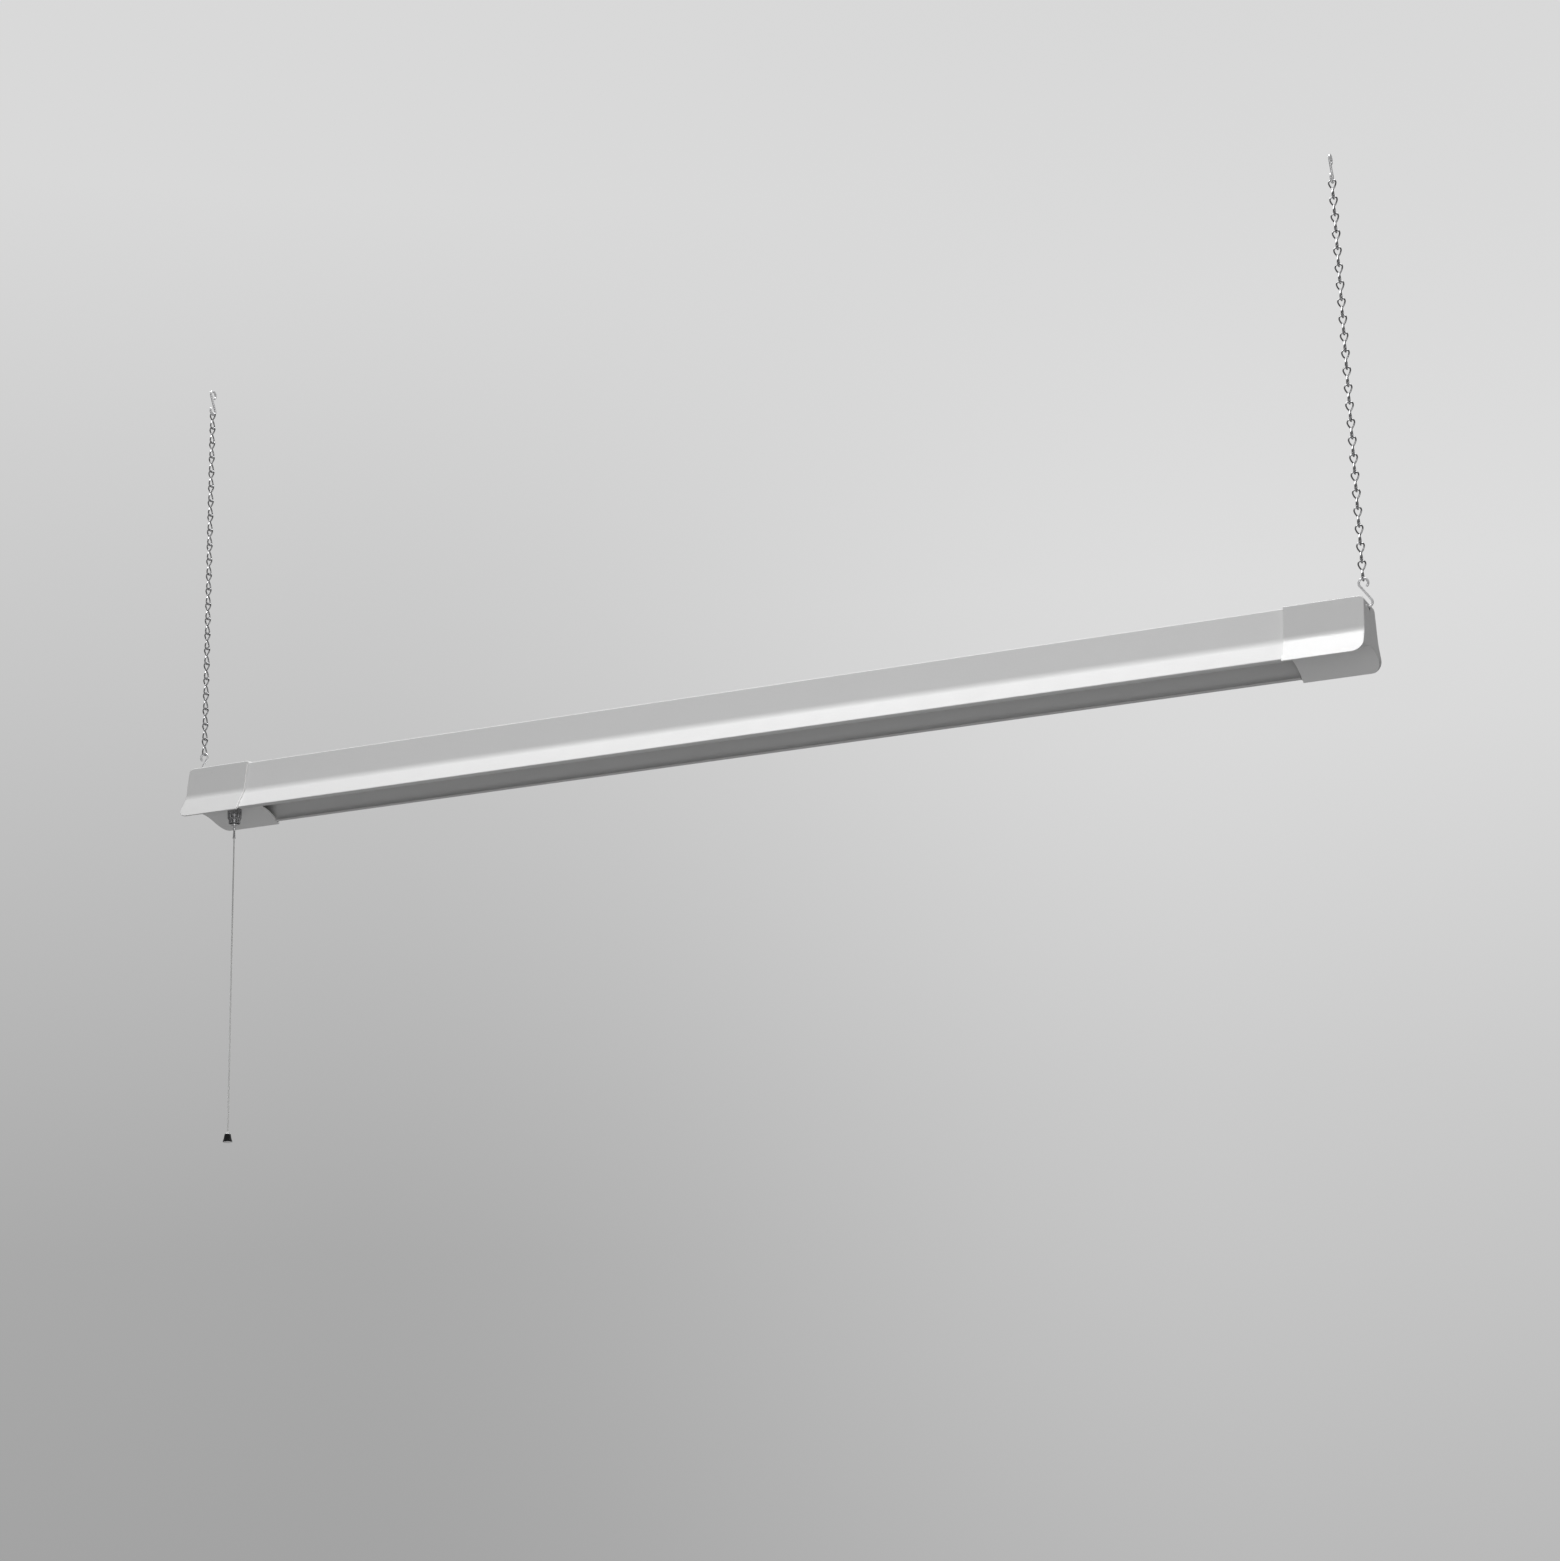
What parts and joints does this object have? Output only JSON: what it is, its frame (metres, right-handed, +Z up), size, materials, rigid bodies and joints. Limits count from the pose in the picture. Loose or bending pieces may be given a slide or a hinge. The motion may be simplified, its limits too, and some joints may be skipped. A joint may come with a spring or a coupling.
{
  "type": "led office pendant light",
  "caption": "Long pendant light with a folded white body, flared wings and moulded end caps, hung on two jack chains with S-hooks, with a pull-cord switch under one end.",
  "frame": {"origin": "midway between the two upper S-hooks, at the inside of their crests, where they hang from the ceiling", "axes": "+X along the fixture towards its right end, away from the pull switch; +Y to the back; +Z up"},
  "size_m": [1.2082, 0.078, 0.7946],
  "materials": {
    "white_enamel": "satin",
    "white_plastic": "satin",
    "zinc_wire": "bright zinc",
    "plated_steel": "zinc plated",
    "board_white": "satin",
    "led_yellow": "gloss",
    "opal_plastic": "frosted",
    "green_board": "gloss",
    "green_plating": "satin",
    "red_insulation": "satin",
    "black_plastic": "satin",
    "brass_tabs": "satin",
    "bright_metal": "polished",
    "dark_metal": "polished",
    "cord_fibre": "matte"
  },
  "bodies": {
    "ceiling_hooks": {"left_ceiling_hook": "zinc_wire", "right_ceiling_hook": "zinc_wire"},
    "top_links": {"left_top_link": "zinc_wire", "right_top_link": "zinc_wire"},
    "left_chain": {"left_chain": "zinc_wire"},
    "right_chain": {"right_chain": "zinc_wire"},
    "lower_hooks": {"left_lower_hook": "zinc_wire", "right_lower_hook": "zinc_wire"},
    "fixture": {"housing": "white_enamel", "left_end_cap": "white_plastic", "right_end_cap": "white_plastic", "end_cap_screws": "plated_steel", "tray_brackets": "plated_steel", "led_tray": "white_enamel", "tray_screws": "plated_steel", "led_board_left": "board_white", "led_board_right": "board_white", "led_chips_left": "led_yellow", "led_chips_right": "led_yellow", "board_screws": "plated_steel", "board_link_wires": "red_insulation", "diffuser": "opal_plastic", "driver_case": "plated_steel", "driver_cover": "plated_steel", "driver_board": "green_board", "driver_screws": "plated_steel", "terminal_block": "white_plastic", "ground_screw": "green_plating", "inlet_bushing": "black_plastic", "switch_wires": "black_plastic", "driver_wires": "black_plastic", "led_wires": "red_insulation", "switch_body": "black_plastic", "switch_terminals": "brass_tabs", "switch_spring": "plated_steel", "switch_collar": "black_plastic", "switch_ferrule": "bright_metal"},
    "pull_rod": {"pull_rod": "bright_metal"},
    "cord_link": {"cord_link": "dark_metal"},
    "pull_cord": {"pull_cord": "cord_fibre", "cord_knob": "dark_metal"}
  },
  "joints": [
    {"name": "chains_sideways", "type": "hinge", "parent": "ceiling_hooks", "child": "top_links", "pos_m": [0, 0, -0.02282], "axis": [1, 0, 0], "range_deg": [-20, 20]},
    {"name": "left_chain_lengthwise", "type": "hinge", "parent": "top_links", "child": "left_chain", "pos_m": [-0.5965, 0, -0.0408], "axis": [0, 1, 0], "range_deg": [-20, 20]},
    {"name": "right_chain_lengthwise", "type": "hinge", "parent": "top_links", "child": "right_chain", "pos_m": [0.5965, 0, -0.0408], "axis": [0, 1, 0], "range_deg": [-20, 20]},
    {"name": "lower_hooks_lengthwise", "type": "hinge", "parent": "left_chain", "child": "lower_hooks", "pos_m": [-0.5965, 0, -0.395], "axis": [0, 1, 0], "range_deg": [-20, 20]},
    {"name": "fixture_roll", "type": "hinge", "parent": "lower_hooks", "child": "fixture", "pos_m": [0, 0, -0.41876], "axis": [1, 0, 0], "range_deg": [-15, 15]},
    {"name": "switch_pull", "type": "slide", "parent": "fixture", "child": "pull_rod", "axis": [0, 0, -1], "range_m": [0, 0.005], "stiffness_N_per_m": 600, "springref_m": -0.003, "deforming": ["switch_spring"]},
    {"name": "link_swing", "type": "hinge", "parent": "pull_rod", "child": "cord_link", "pos_m": [-0.558, 0, -0.47517], "axis": [0, 1, 0], "range_deg": [-15, 15]},
    {"name": "cord_swing", "type": "hinge", "parent": "cord_link", "child": "pull_cord", "pos_m": [-0.558, 0, -0.48277], "axis": [1, 0, 0], "range_deg": [-10, 10]}
  ],
  "couplings": [
    {"joint": "right_chain_lengthwise", "follows": "left_chain_lengthwise", "ratio": 1},
    {"joint": "lower_hooks_lengthwise", "follows": "left_chain_lengthwise", "ratio": -1}
  ]
}
